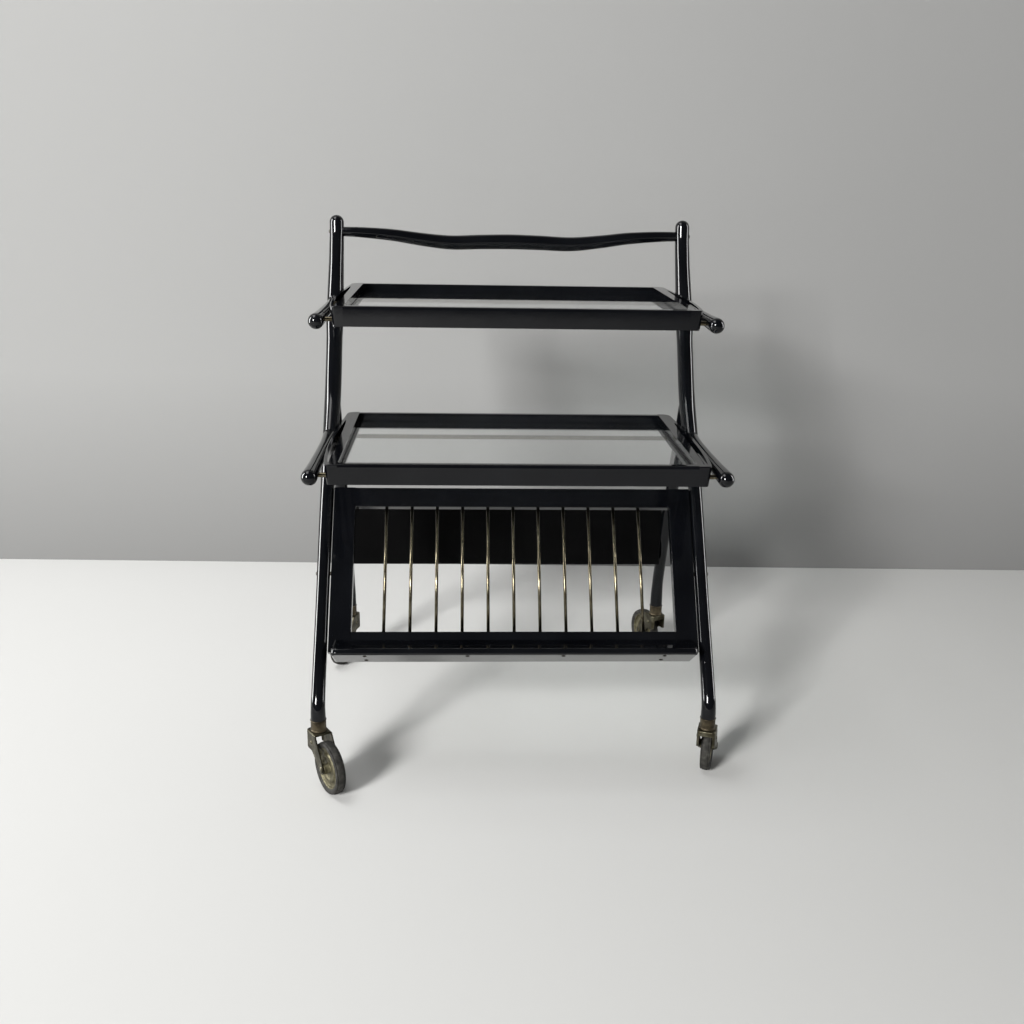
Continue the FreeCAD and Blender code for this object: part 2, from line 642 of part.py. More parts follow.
def slot_outline(height):
    outer = [rim_point(share, height, mm.rim_thickness) for share in RIM_SHARES]
    inner = [bar_point(share, height) for share in RIM_SHARES]
    return Part.Wire([smooth(outer), straight(outer[-1], inner[-1]),
                      smooth(inner[::-1]), straight(inner[0], outer[0])])


# The wedge stands in the front of the slot, its tip near the bar.
def wedge_outline(height):
    root_inner = bar_point(RIM_SHARES[0], height) + Vector(mm.wedge_gap, -mm.wedge_gap, 0)
    root_outer = rim_point(RIM_SHARES[0], height, mm.rim_thickness + mm.wedge_gap)
    root_outer.y = root_inner.y
    tip = bar_point(RIM_SHARES[2], height)
    tip += Vector(mm.wedge_gap + mm.wedge_tip_radius, 0, 0)
    tip.y = RIM_SHARES[0][0] * mm.tray_depth + mm.wedge_length - mm.wedge_tip_radius
    left = tip - Vector(mm.wedge_tip_radius, 0, 0)
    right = tip + Vector(mm.wedge_tip_radius, 0, 0)
    nose = corner_arc(tip.x, tip.y, height, mm.wedge_tip_radius, 0, 180)
    return Part.Wire([straight(root_outer, right), nose, straight(left, root_inner),
                      straight(root_inner, root_outer)])


def between_heights(outline_at, low, high):
    return Part.makeLoft([outline_at(low), outline_at(high)], True, True)


def tray_end(side, rod_depths):
    top = mm.tray_height
    block = between_heights(tray_end_outline, 0, top)
    rim_edges = []
    for edge in block.Edges:
        middle = edge.CenterOfMass
        if abs(middle.z - top) < mm.glass_clearance and middle.x > mm.bar_inner_half + mm.tray_edge_round:
            rim_edges.append(edge)
    block = block.makeFillet(mm.tray_edge_round, rim_edges)
    slot = between_heights(slot_outline, -mm.overrun, top + mm.overrun)
    wedge = between_heights(wedge_outline, -2 * mm.overrun, top + 2 * mm.overrun)
    inset = mm.rail_thickness + mm.ledge_width
    ledge_corner = Vector(mm.bar_inner_half - mm.ledge_width, inset, mm.glass_seat - mm.ledge_thickness)
    ledge = Part.makeBox(mm.ledge_width, mm.tray_depth - 2 * inset, mm.ledge_thickness, ledge_corner)
    end = block.cut(slot.cut(wedge)).fuse(ledge).removeSplitter()
    notch_radius = mm.rod_radius + mm.rod_clearance
    notch_start = mm.bar_inner_half - 2 * mm.ledge_width
    notch_length = mm.tray_half_back + mm.tray_bow + mm.overrun - notch_start
    for depth in rod_depths:
        notch = Part.makeCylinder(notch_radius, notch_length, Vector(notch_start, depth, mm.tray_seat),
                                  Vector(1, 0, 0))
        below = Part.makeBox(notch_length, 2 * notch_radius, mm.tray_seat + mm.overrun,
                             Vector(notch_start, depth - notch_radius, -mm.overrun))
        end = end.cut(notch.fuse(below))
    if side < 0:
        end = end.mirror(Vector(0, 0, 0), Vector(1, 0, 0))
    return end


ledge_under = "glass_seat - ledge_thickness"
rail_corners = (
    ("0", "0"), ("rail_thickness", "0"), ("rail_thickness", ledge_under),
    ("(rail_thickness + ledge_width)", ledge_under), ("(rail_thickness + ledge_width)", "glass_seat"),
    ("rail_thickness", "glass_seat"), ("rail_thickness", "tray_height"), ("0", "tray_height"),
)
for level, knob_depth, arm_height, rod_drop in LEVELS:
    rod_height = arm_height - rod_drop
    front_depth = knob_depth + mm.tray_setback
    tray_place = Placement(Vector(0, at(front_depth), rod_height - mm.tray_seat), Rotation())
    for word in ("front", "back"):
        corners = rail_corners
        if word == "back":
            corners = [("tray_depth - %s" % across, up) for across, up in rail_corners]
        label = "%s_tray_%s_rail" % (level, word)
        rail = padded(label, "YZ_Plane", corners, "2 * bar_inner_half")
        soften(rail, "tray_edge_round", lambda middle, run: abs(run.x) > 0.99 and (
            middle.z > mm.tray_height - mm.tray_edge_round))
        rail.Placement = tray_place
        keep(rail, label)
    rod_depths = (mm.rod_setback - mm.tray_setback, leg_at(rod_height)[0] - front_depth)
    for word, side in SIDES:
        label = "%s_tray_end_%s" % (level, word)
        end = solid_piece(label + "_solid", tray_end(side, rod_depths))
        end.Placement = tray_place
        keep(end, label)
    glass = doc.addObject("Part::Box", level + "_tray_glass_solid")
    bind(glass, "Length", "2 * (bar_inner_half - glass_clearance)")
    bind(glass, "Width", "tray_depth - 2 * (rail_thickness + glass_clearance)")
    bind(glass, "Height", "glass_thickness")
    glass_corner = Vector(mm.glass_clearance - mm.bar_inner_half,
                          mm.rail_thickness + mm.glass_clearance, mm.glass_seat)
    glass.Placement = tray_place.multiply(Placement(glass_corner, Rotation()))
    keep(glass, level + "_tray_glass")

# Casters: drawn with the stem on Z and the trail along +X, then turned to a heading.
fork_top = mm.leg_foot_height - mm.ferrule_height - mm.swivel_gap
stem_end = mm.leg_foot_height - mm.ferrule_cap


def polygon(points):
    face = Part.Face(Part.makePolygon([Vector(x, -mm.fork_width / 2, z) for x, z in points + points[:1]]))
    return face.extrude(Vector(0, mm.fork_width, 0))


# Pressed sheet fork: a top plate with a lip at the front, two cheeks, arms to the axle.
def fork():
    run = Vector(mm.trail - mm.rivet_trail, 0, mm.wheel_radius - fork_top + mm.rivet_drop)
    square = Vector(-run.z, 0, run.x).normalize() * mm.axle_boss
    points = [(-mm.fork_nose, fork_top), (mm.fork_shoulder, fork_top),
              (mm.trail + square.x, mm.wheel_radius + square.z),
              (mm.trail - square.x, mm.wheel_radius - square.z)]
    points += [(x * mm.fork_nose, fork_top - z * mm.cheek_depth) for x, z in CHEEK_SHARES]
    body = polygon(points)
    nose = [edge for edge in body.Edges if abs(edge.CenterOfMass.x + mm.fork_nose) < mm.swivel_gap
            and abs(edge.CenterOfMass.y) > mm.fork_width / 4 and edge.CenterOfMass.z < fork_top]
    body = body.makeFillet(mm.fork_round, nose)
    top = [edge for edge in body.Edges if abs(edge.CenterOfMass.z - fork_top) < mm.swivel_gap
           and edge.CenterOfMass.x < mm.fork_shoulder - mm.swivel_gap]
    body = body.makeFillet(mm.fork_edge_round, top)
    boss_start = Vector(mm.trail, -mm.fork_width / 2, mm.wheel_radius)
    boss = Part.makeCylinder(mm.axle_boss, mm.fork_width, boss_start, Vector(0, 1, 0))
    inner_half = mm.fork_width / 2 - mm.fork_plate
    hollow = Part.makeBox(
        mm.fork_nose + mm.trail + 2 * mm.axle_boss, 2 * inner_half, fork_top - mm.fork_plate,
        Vector(mm.fork_plate - mm.fork_nose, -inner_half, 0))
    corners = [edge for edge in hollow.Edges if abs(edge.CenterOfMass.y) > inner_half / 2
               and edge.CenterOfMass.x < 0 and abs(edge.CenterOfMass.z - fork_top / 2) < mm.fork_round]
    hollow = hollow.makeFillet(mm.fork_round - mm.fork_plate, corners)
    mouth = Part.makeBox(mm.fork_nose, 2 * mm.fork_mouth_half, fork_top - mm.fork_lip,
                         Vector(-mm.fork_nose - mm.fork_plate, -mm.fork_mouth_half, 0))
    stem = Part.makeCylinder(mm.stem_radius, stem_end - fork_top + mm.fork_plate,
                             Vector(0, 0, fork_top - mm.fork_plate))
    return body.fuse(boss).cut(hollow.fuse(mouth)).fuse(stem).removeSplitter()


# Both faces of a turned section, from its half: out along one face, back on the other.
def mirrored(half):
    return half + [(radius, "-(%s)" % width) for radius, width in half[::-1]]


hub_half = "(fork_width / 2 - fork_plate - hub_gap)"
disc_half = [("axle_radius + running_clearance", "-" + hub_half), ("hub_radius", "-" + hub_half)]
disc_half += [("tyre_seat_radius * %s" % radius, "-disc_width / 2 * %s" % width)
              for radius, width in DISC_SHARES]
tyre_half = [("tyre_seat_radius + (wheel_radius - tyre_seat_radius) * %s" % rise,
              "-tyre_width / 2 * %s" % width) for rise, width in TYRE_SHARES]
axle_head = "(fork_width / 2 + axle_head_height)"
axle_half = [("0", "-" + axle_head), ("axle_head_radius * 0.7", "-" + axle_head),
             ("axle_head_radius", "-(fork_width + axle_head_height) / 2"),
             ("axle_head_radius", "-fork_width / 2"), ("axle_radius", "-fork_width / 2")]
ferrule_corners = (
    ("stem_radius + running_clearance", "0"), ("ferrule_radius + ferrule_step", "0"),
    ("ferrule_radius + ferrule_step", "ferrule_foot"), ("ferrule_radius", "ferrule_foot + ferrule_step"),
    ("ferrule_radius", "ferrule_height - 2 * ferrule_step"),
    ("ferrule_radius + ferrule_step", "ferrule_height - ferrule_step"),
    ("ferrule_radius", "ferrule_height"), ("0", "ferrule_height"),
    ("0", "ferrule_height - ferrule_cap + pin_end_gap"),
    ("stem_radius + running_clearance", "ferrule_height - ferrule_cap + pin_end_gap"),
)
for name, side, rear, heading in CASTERS:
    across = side * (half_spacing - (mm.rear_foot_inset if rear else 0))
    depth = mm.rear_foot_depth if rear else 0
    place = Placement(Vector(across, at(depth), 0), Rotation(Vector(0, 0, 1), heading))
    axle_turn = Rotation(Vector(1, 0, 0), 90)
    axle_place = place.multiply(Placement(Vector(mm.trail, 0, mm.wheel_radius), axle_turn))

    ferrule = turned("ferrule_" + name, ferrule_corners)
    ferrule.Placement = place.multiply(
        Placement(Vector(0, 0, mm.leg_foot_height - mm.ferrule_height), Rotation()))
    keep(ferrule, "ferrule_" + name)

    turned_pieces = {}
    for label, half in (("axle", axle_half), ("wheel_disc", disc_half), ("tyre", tyre_half)):
        piece = turned("%s_%s" % (label, name), mirrored(half))
        piece.Placement = axle_place
        turned_pieces[label] = keep(piece, "%s_%s" % (label, name))

    rivets = []
    for turn in (-1, 1):
        rivet = solid_piece("rivet_%s_%d" % (name, len(rivets)), screw(
            mm.rivet_head_radius, mm.rivet_head_height, mm.rivet_radius, mm.fork_plate))
        rivet.Placement = place.multiply(Placement(
            Vector(mm.rivet_trail, turn * mm.fork_width / 2, fork_top - mm.rivet_drop),
            Rotation(Vector(0, 0, 1), Vector(0, -turn, 0))))
        rivets.append(rivet)
    keep(group("rivets_" + name, rivets), "rivets_" + name)

    whole_fork = solid_piece("fork_%s_whole" % name, fork())
    whole_fork.Placement = place
    keep(less("yoke_" + name, whole_fork, [turned_pieces["axle"]] + rivets), "yoke_" + name)

doc.recompute()
for thing in doc.Objects:
    if "Invalid" in thing.State or "Error" in thing.State:
        raise RuntimeError("%s did not rebuild" % thing.Label)
os.makedirs("parts", exist_ok=True)
for node in nodes:
    if node.Shape.isNull() or not node.Shape.isValid():
        raise RuntimeError("%s has no valid solid" % node.Label)
    node.Shape.exportStep("parts/%s.step" % node.Label)
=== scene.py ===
import bpy
import bmesh
import math
from mathutils import Matrix, Vector


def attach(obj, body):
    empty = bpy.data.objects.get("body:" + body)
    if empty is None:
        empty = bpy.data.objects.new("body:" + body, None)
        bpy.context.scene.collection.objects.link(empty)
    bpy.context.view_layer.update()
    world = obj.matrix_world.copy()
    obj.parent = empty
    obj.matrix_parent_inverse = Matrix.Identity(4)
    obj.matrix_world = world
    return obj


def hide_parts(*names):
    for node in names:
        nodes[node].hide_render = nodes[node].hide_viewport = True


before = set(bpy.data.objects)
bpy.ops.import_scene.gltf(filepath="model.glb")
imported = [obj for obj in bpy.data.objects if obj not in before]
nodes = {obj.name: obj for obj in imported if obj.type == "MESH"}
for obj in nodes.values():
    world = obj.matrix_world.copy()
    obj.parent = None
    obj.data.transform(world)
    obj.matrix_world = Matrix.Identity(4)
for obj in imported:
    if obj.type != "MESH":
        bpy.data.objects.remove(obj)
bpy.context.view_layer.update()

# Camera: standing in front of the trolley, a little left of its middle and higher than
# the push bar, looking down on it. Its turn is given by its three axes.
camera_place = (-0.0805, -1.728205, 0.890)
camera_right = Vector((0.998972, -0.041900, 0.017279))
camera_up = Vector((-0.004219, 0.293613, 0.955915))
camera_back = Vector((-0.045127, -0.955006, 0.293134))
camera = bpy.data.objects.new("camera", bpy.data.cameras.new("camera"))
bpy.context.scene.collection.objects.link(camera)
camera.data.sensor_width = 36.0
camera.data.lens = 38.67
turned_camera = Matrix((camera_right, camera_up, camera_back)).transposed().to_4x4()
camera.matrix_world = Matrix.Translation(camera_place) @ turned_camera
bpy.context.scene.camera = camera
bpy.context.scene.view_settings.view_transform = "Standard"

# Room: a pale floor that meets a pale grey wall half a metre behind the trolley. Both carry
# painted shade: a little darker to the right, and the wall darker low down. In metres.
room_half, wall_height = 6, 4
wall_left_depth, wall_right_depth = 0.906, 0.582
painted_shade_left_end, painted_shade_right_end = -1.3, 1.5
painted_shade_height = 0.45


def room_paint(name, left, right, painted_foot_shade_share, roughness):
    material = bpy.data.materials.new(name)
    material.use_nodes = True
    tree = material.node_tree
    shader = tree.nodes["Principled BSDF"]
    shader.inputs["Roughness"].default_value = roughness
    shader.inputs["Specular IOR Level"].default_value = 0.0
    place = tree.nodes.new("ShaderNodeTexCoord")
    apart = tree.nodes.new("ShaderNodeSeparateXYZ")
    across = tree.nodes.new("ShaderNodeMapRange")
    across.inputs["From Min"].default_value = painted_shade_left_end
    across.inputs["From Max"].default_value = painted_shade_right_end
    # Painted shade: the colour darkens from the left end to the right end, standing for light falling off
    # across the room.
    ramp = tree.nodes.new("ShaderNodeValToRGB")
    ramp.color_ramp.interpolation = "EASE"
    ramp.color_ramp.elements[0].color = left
    ramp.color_ramp.elements[1].color = right
    tree.links.new(place.outputs["Object"], apart.inputs["Vector"])
    tree.links.new(apart.outputs["X"], across.inputs["Value"])
    tree.links.new(across.outputs["Result"], ramp.inputs["Fac"])
    # Painted shade: the colour is darker towards the foot, from the foot share at the bottom to full at the
    # given height.
    rise = tree.nodes.new("ShaderNodeMapRange")
    rise.inputs["From Max"].default_value = painted_shade_height
    rise.inputs["To Min"].default_value = painted_foot_shade_share
    with_painted_shade = tree.nodes.new("ShaderNodeVectorMath")
    with_painted_shade.operation = "SCALE"
    tree.links.new(apart.outputs["Z"], rise.inputs["Value"])
    tree.links.new(ramp.outputs["Color"], with_painted_shade.inputs[0])
    tree.links.new(rise.outputs["Result"], with_painted_shade.inputs["Scale"])
    tree.links.new(with_painted_shade.outputs["Vector"], shader.inputs["Base Color"])
    return material


def flat_sheet(name, corners, material):
    mesh = bpy.data.meshes.new(name)
    mesh.from_pydata(corners, [], [(0, 1, 2, 3)])
    sheet = bpy.data.objects.new(name, mesh)
    bpy.context.scene.collection.objects.link(sheet)
    mesh.materials.append(material)
    return sheet


# The floor and wall run from a lighter left colour to a darker right one as painted shade, lighter where the
# lamp is nearer.
floor_paint = room_paint("floor_paint", left=(0.67, 0.67, 0.66, 1), right=(0.45, 0.45, 0.442, 1),
                         painted_foot_shade_share=1.0, roughness=0.6)
wall_paint = room_paint("wall_paint", left=(0.29, 0.29, 0.287, 1), right=(0.225, 0.225, 0.223, 1),
                        painted_foot_shade_share=0.70, roughness=0.8)
flat_sheet("floor", [(-room_half, -room_half, 0), (room_half, -room_half, 0),
                     (room_half, room_half, 0), (-room_half, room_half, 0)], floor_paint)
flat_sheet("wall", [(-room_half, wall_left_depth, 0), (room_half, wall_right_depth, 0),
                    (room_half, wall_right_depth, wall_height),
                    (-room_half, wall_left_depth, wall_height)], wall_paint)
# The wall lets a view from behind through, so the trolley shows from every side.
tree = wall_paint.node_tree
back_of_wall = tree.nodes.new("ShaderNodeNewGeometry")
see_through = tree.nodes.new("ShaderNodeBsdfTransparent")
either = tree.nodes.new("ShaderNodeMixShader")
tree.links.new(back_of_wall.outputs["Backfacing"], either.inputs["Fac"])
tree.links.new(tree.nodes["Principled BSDF"].outputs["BSDF"], either.inputs[1])
tree.links.new(see_through.outputs["BSDF"], either.inputs[2])
tree.links.new(either.outputs["Shader"], tree.nodes["Material Output"].inputs["Surface"])

# Light: one large soft lamp from the front left, high up, a weak one over the trolley,
# and a faint even light from the room.
world = bpy.data.worlds.new("room_light")
world.use_nodes = True
world.node_tree.nodes["Background"].inputs["Color"].default_value = (0.97, 0.985, 1.0, 1.0)
world.node_tree.nodes["Background"].inputs["Strength"].default_value = 0.09
bpy.context.scene.world = world


def soft_lamp(name, place, aim, width, height, power, colour=(1.0, 1.0, 1.0)):
    lamp = bpy.data.lights.new(name, "AREA")
    lamp.shape = "RECTANGLE"
    lamp.size = width
    lamp.size_y = height
    lamp.energy = power
    lamp.color = colour
    lamp_object = bpy.data.objects.new(name, lamp)
    bpy.context.scene.collection.objects.link(lamp_object)
    turn = (Vector(aim) - Vector(place)).to_track_quat("-Z", "Y").to_matrix().to_4x4()
    lamp_object.matrix_world = Matrix.Translation(place) @ turn
    return lamp_object


soft_lamp("key_lamp", place=(-6.1, -9.1, 4.8), aim=(0.0, 0.1, 0.35), width=2.4, height=3.2,
          power=2400, colour=(1.0, 0.995, 0.98))
soft_lamp("ceiling_lamp", place=(-1.2, -0.3, 3.2), aim=(-0.7, -0.3, 0.0), width=1.8, height=1.2, power=38)
# Two tall screens beside the trolley show as streaks in gloss and metal only.
for word, across, width, power in (("left", -2.6, 0.5, 140), ("right", 2.6, 0.4, 55)):
    screen = soft_lamp("streak_screen_" + word, place=(across, 0.15, 1.0), aim=(0.0, 0.1, 0.5),
                       width=width, height=2.6, power=power)
    screen.visible_diffuse = False
    screen.visible_transmission = False

# Side frames: bent beech members in gloss black lacquer, each turned to a taper. Rear
# leg and both arms are glued to the long one, front leg and upright in one. From here
# on sizes are in millimetres, and depths are counted back from the front caster stems.
half_spacing = 295.0
stems_to_middle = 231.405
equal_points = 1e-4


def at(across, depth, height):
    return Vector((across, depth - stems_to_middle, height)) / 1000


def noise_on_object(tree, scale, detail):
    place = tree.nodes.new("ShaderNodeTexCoord")
    noise = tree.nodes.new("ShaderNodeTexNoise")
    noise.inputs["Scale"].default_value = scale
    noise.inputs["Detail"].default_value = detail
    tree.links.new(place.outputs["Object"], noise.inputs["Vector"])
    return noise.outputs["Fac"]


def ramp_of(tree, factor, stops):
    ramp = tree.nodes.new("ShaderNodeValToRGB")
    while len(ramp.color_ramp.elements) < len(stops):
        ramp.color_ramp.elements.new(0.5)
    for element, (place, colour) in zip(ramp.color_ramp.elements, stops):
        element.position = place
        element.color = list(colour) + [1.0]
    tree.links.new(factor, ramp.inputs["Fac"])
    return ramp.outputs["Color"]


def range_of(tree, factor, low, high):
    spread = tree.nodes.new("ShaderNodeMapRange")
    spread.inputs["To Min"].default_value = low
    spread.inputs["To Max"].default_value = high
    tree.links.new(factor, spread.inputs["Value"])
    return spread.outputs["Result"]


def bump_of(tree, factor, strength, depth):
    bump = tree.nodes.new("ShaderNodeBump")
    bump.inputs["Strength"].default_value = strength
    bump.inputs["Distance"].default_value = depth / 1000
    tree.links.new(factor, bump.inputs["Height"])
    return bump.outputs["Normal"]


def new_finish(name):
    material = bpy.data.materials.new(name)
    material.use_nodes = True
    return material, material.node_tree, material.node_tree.nodes["Principled BSDF"]


# Lacquer: near black, hand polished, a little uneven, with rubbed and dusty patches.
lacquer, tree, shader = new_finish("black_lacquer")
patches = noise_on_object(tree, scale=9.0, detail=4.0)
lacquer_blacks = ((0.30, (0.0010, 0.0012, 0.0018)), (0.72, (0.0030, 0.0033, 0.0043)))
tree.links.new(ramp_of(tree, patches, lacquer_blacks), shader.inputs["Base Color"])
rubbed = noise_on_object(tree, scale=26.0, detail=6.0)
tree.links.new(range_of(tree, rubbed, low=0.03, high=0.10), shader.inputs["Roughness"])
orange_peel = noise_on_object(tree, scale=140.0, detail=2.0)
tree.links.new(bump_of(tree, orange_peel, strength=0.02, depth=0.4), shader.inputs["Normal"])
shader.inputs["IOR"].default_value = 1.36

# Stations along the members: depth, height, lean in degrees and radius; the rear leg's
# last value says how far it stands nearer the middle.
long_leg_stations = (
    (0.0, 105.0, 0.0, 11.3), (0.0, 112.0, 3.0, 11.2), (2.6, 125.9, 19.0, 10.8), (10.0, 139.9, 33.0, 10.5),
    (93.8, 260.4, 34.8, 10.2), (187.4, 394.3, 35.8, 10.8), (247.0, 466.0, 40.0, 12.2),
    (306.7, 532.3, 36.5, 13.4), (354.4, 619.7, 27.8, 13.3), (370.9, 655.4, 26.6, 14.5),
    (385.0, 681.4, 26.5, 13.7), (427.7, 767.1, 22.0, 12.3), (437.0, 793.0, 14.0, 12.0),
    (439.5, 808.0, 8.0, 12.0))
rear_leg_stations = (
    (312.1, 548.0, -10.0, 8.0, 0.0), (317.5, 514.2, -19.5, 11.9, 0.0), (379.8, 362.8, -23.0, 11.0, 1.2),
    (439.9, 201.6, -18.0, 10.25, 2.7), (455.0, 151.8, -11.0, 10.25, 3.0), (458.0, 121.9, -1.5, 11.1, 3.0),
    (458.0, 105.0, 0.0, 11.3, 3.0))
station_step = 7.0
least_steps = 3


# Shares of the start, its slope, the end and its slope on a smooth way between the two.
def smooth_shares(t):
    return 2 * t ** 3 - 3 * t ** 2 + 1, t ** 3 - 2 * t ** 2 + t, 3 * t ** 2 - 2 * t ** 3, t ** 3 - t ** 2


# A smooth line through stations, upwards or downwards.
def run_through(stations, upward):
    line = []
    for here, there in zip(stations, stations[1:]):
        start, end = Vector(here[:2]), Vector(there[:2])
        reach = (end - start).length * (1 if upward else -1)
        leave, arrive = [Vector((math.sin(lean), math.cos(lean))) * reach
                         for lean in (math.radians(here[2]), math.radians(there[2]))]
        steps = max(least_steps, round((end - start).length / station_step))
        for i in range(steps):
            t = i / steps
            from_start, from_leave, from_end, from_arrive = smooth_shares(t)
            place = start * from_start + leave * from_leave + end * from_end + arrive * from_arrive
            smooth = t * t * (3 - 2 * t)
            radius = here[3] + (there[3] - here[3]) * smooth
            inset = here[4] + (there[4] - here[4]) * smooth if len(here) > 4 else 0.0
            line.append((place.x, place.y, radius, inset))
    last = stations[-1]
    line.append((last[0], last[1], last[3], last[4] if len(last) > 4 else 0.0))
    return line


# Geometry Nodes: a round member swept along a curve, as thick as the curve's radius.
def member_tree():
    tree = bpy.data.node_groups.new("round_member", "GeometryNodeTree")
    tree.interface.new_socket("Geometry", in_out="INPUT", socket_type="NodeSocketGeometry")
    tree.interface.new_socket("Sides", in_out="INPUT", socket_type="NodeSocketInt")
    tree.interface.new_socket("Finish", in_out="INPUT", socket_type="NodeSocketMaterial")
    tree.interface.new_socket("Geometry", in_out="OUTPUT", socket_type="NodeSocketGeometry")
    start = tree.nodes.new("NodeGroupInput")
    end = tree.nodes.new("NodeGroupOutput")
    section = tree.nodes.new("GeometryNodeCurvePrimitiveCircle")
    section.inputs["Radius"].default_value = 1.0
    radius = tree.nodes.new("GeometryNodeInputRadius")
    sweep = tree.nodes.new("GeometryNodeCurveToMesh")
    sweep.inputs["Fill Caps"].default_value = True
    smooth = tree.nodes.new("GeometryNodeSetShadeSmooth")
    real = tree.nodes.new("GeometryNodeRealizeInstances")
    paint = tree.nodes.new("GeometryNodeSetMaterial")
    tree.links.new(start.outputs["Sides"], section.inputs["Resolution"])
    tree.links.new(start.outputs["Geometry"], sweep.inputs["Curve"])
    tree.links.new(section.outputs["Curve"], sweep.inputs["Profile Curve"])
    tree.links.new(radius.outputs["Radius"], sweep.inputs["Scale"])
    tree.links.new(sweep.outputs["Mesh"], smooth.inputs["Geometry"])
    tree.links.new(smooth.outputs["Geometry"], real.inputs["Geometry"])
    tree.links.new(real.outputs["Geometry"], paint.inputs["Geometry"])
    tree.links.new(start.outputs["Finish"], paint.inputs["Material"])
    tree.links.new(paint.outputs["Geometry"], end.inputs["Geometry"])
    return tree


# Turns a made object into a plain mesh piece that stands for its solids.
def settle(name, made, body, slot, *stands_for):
    mesh = bpy.data.meshes.new_from_object(made.evaluated_get(bpy.context.evaluated_depsgraph_get()))
    bpy.data.objects.remove(made)
    piece = bpy.data.objects.new(name, mesh)
    bpy.context.scene.collection.objects.link(piece)
    solid = bmesh.new()
    solid.from_mesh(mesh)
    bmesh.ops.remove_doubles(solid, verts=solid.verts, dist=equal_points / 1000)
    if solid.calc_volume(signed=True) < 0:
        bmesh.ops.reverse_faces(solid, faces=solid.faces)
    solid.to_mesh(mesh)
    solid.free()
    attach(piece, body)
    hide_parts(*stands_for)
    return piece


# Sets a Geometry Nodes tree's inputs on an object, by the names they have in the tree.
def give_tree(made, tree, values):
    modifier = made.modifiers.new(tree.name, "NODES")
    modifier.node_group = tree
    for item in tree.interface.items_tree:
        if item.in_out == "INPUT" and item.name in values:
            modifier[item.identifier] = values[item.name]


member_nodes = member_tree()


def round_member(name, line, sides, finish, body, slot, *stands_for):
    curve = bpy.data.curves.new(name + "_line", "CURVE")
    curve.dimensions = "3D"
    spline = curve.splines.new("POLY")
    spline.points.add(len(line) - 1)
    for point, (place, radius) in zip(spline.points, line):
        point.co = (*place, 1.0)
        point.radius = radius
    made = bpy.data.objects.new(name + "_line", curve)
    bpy.context.scene.collection.objects.link(made)
    give_tree(made, member_nodes, {"Sides": sides, "Finish": finish})
    return settle(name, made, body, slot, *stands_for)


# Half a ball in rings, from a few degrees beside its pole towards its middle: how far
# along and how far out each ring lies, as shares of the radius.
dome_rings = 12
pole_gap = 2


def dome_shares():
    angles = [math.radians(pole_gap + (90 - pole_gap) * i / dome_rings) for i in range(dome_rings)]
    return [(math.cos(angle), math.sin(angle)) for angle in angles]


long_leg_sides, branch_sides = 56, 48
# Each arm: level, depth of its ball, height, depth of its root.
arms = (("lower", 0.0, 480.0, 259.6), ("upper", 128.3, 681.0, 384.8))
# Swells: share of an arm's length from its ball, and its radius there.
arm_swells = ((0.0, 11.6), (0.07, 11.28), (0.22, 10.2), (0.50, 9.4), (0.74, 9.5), (0.87, 10.4),
              (0.95, 11.6), (1.0, 12.0))
ball_radius, root_radius = arm_swells[0][1], arm_swells[-1][1]
steps_between_swells = 6
for word, side in (("left", -1), ("right", 1)):
    line = [(at(side * half_spacing, depth, height), radius / 1000)
            for depth, height, radius, inset in run_through(long_leg_stations, upward=True)]
    top_lean, top_radius = math.radians(long_leg_stations[-1][2]), long_leg_stations[-1][3] / 1000
    top = line[-1][0]
    upwards = Vector((0, math.sin(top_lean), math.cos(top_lean)))
    for along, out in reversed(dome_shares()):
        line.append((top + upwards * along * top_radius, out * top_radius))
    round_member("long_leg_and_upright_" + word, line, long_leg_sides, lacquer, "frame", "lacquer",
                 "long_leg_" + word)

    line = [(at(side * (half_spacing - inset), depth, height), radius / 1000)
            for depth, height, radius, inset in run_through(rear_leg_stations, upward=False)]
    round_member("rear_leg_lacquered_" + word, line, branch_sides, lacquer, "frame", "lacquer",
                 "rear_leg_" + word)

    for level, ball_depth, height, root_depth in arms:
        line = [(at(side * half_spacing, ball_depth - along * ball_radius, height), out * ball_radius / 1000)
                for along, out in dome_shares()]
        for (here, thick), (there, next_thick) in zip(arm_swells, arm_swells[1:]):
            for i in range(steps_between_swells):
                t = i / steps_between_swells
                depth = ball_depth + (here + (there - here) * t) * (root_depth - ball_depth)
                radius = thick + (next_thick - thick) * t
                line.append((at(side * half_spacing, depth, height), radius / 1000))
        line.append((at(side * half_spacing, root_depth, height), root_radius / 1000))
        round_member("%s_arm_ball_nosed_%s" % (level, word), line, branch_sides, lacquer, "frame", "lacquer",
                     "%s_arm_%s" % (level, word))

# Push bar: one shaped stick of the same wood, oval, thinner towards its ends and sunk
# in two shallow dips; its ends are coped to the uprights and screwed from outside.
bar_depth, bar_height, bar_dip = 437.0, 793.0, 15.5
# Stations from the middle outwards: share of half its length, share of the dip, half
# its height and half its depth.
push_bar_stations = (
    (0.00, 0.84, 12.4, 10.5), (0.17, 0.90, 12.15, 10.4), (0.35, 1.00, 11.8, 10.3), (0.52, 0.70, 10.9, 9.7),
    (0.68, 0.30, 9.9, 8.9), (0.86, 0.06, 8.6, 8.1), (0.985, 0.0, 7.7, 7.5))
rings_each_way = 48
push_bar_sides = 48


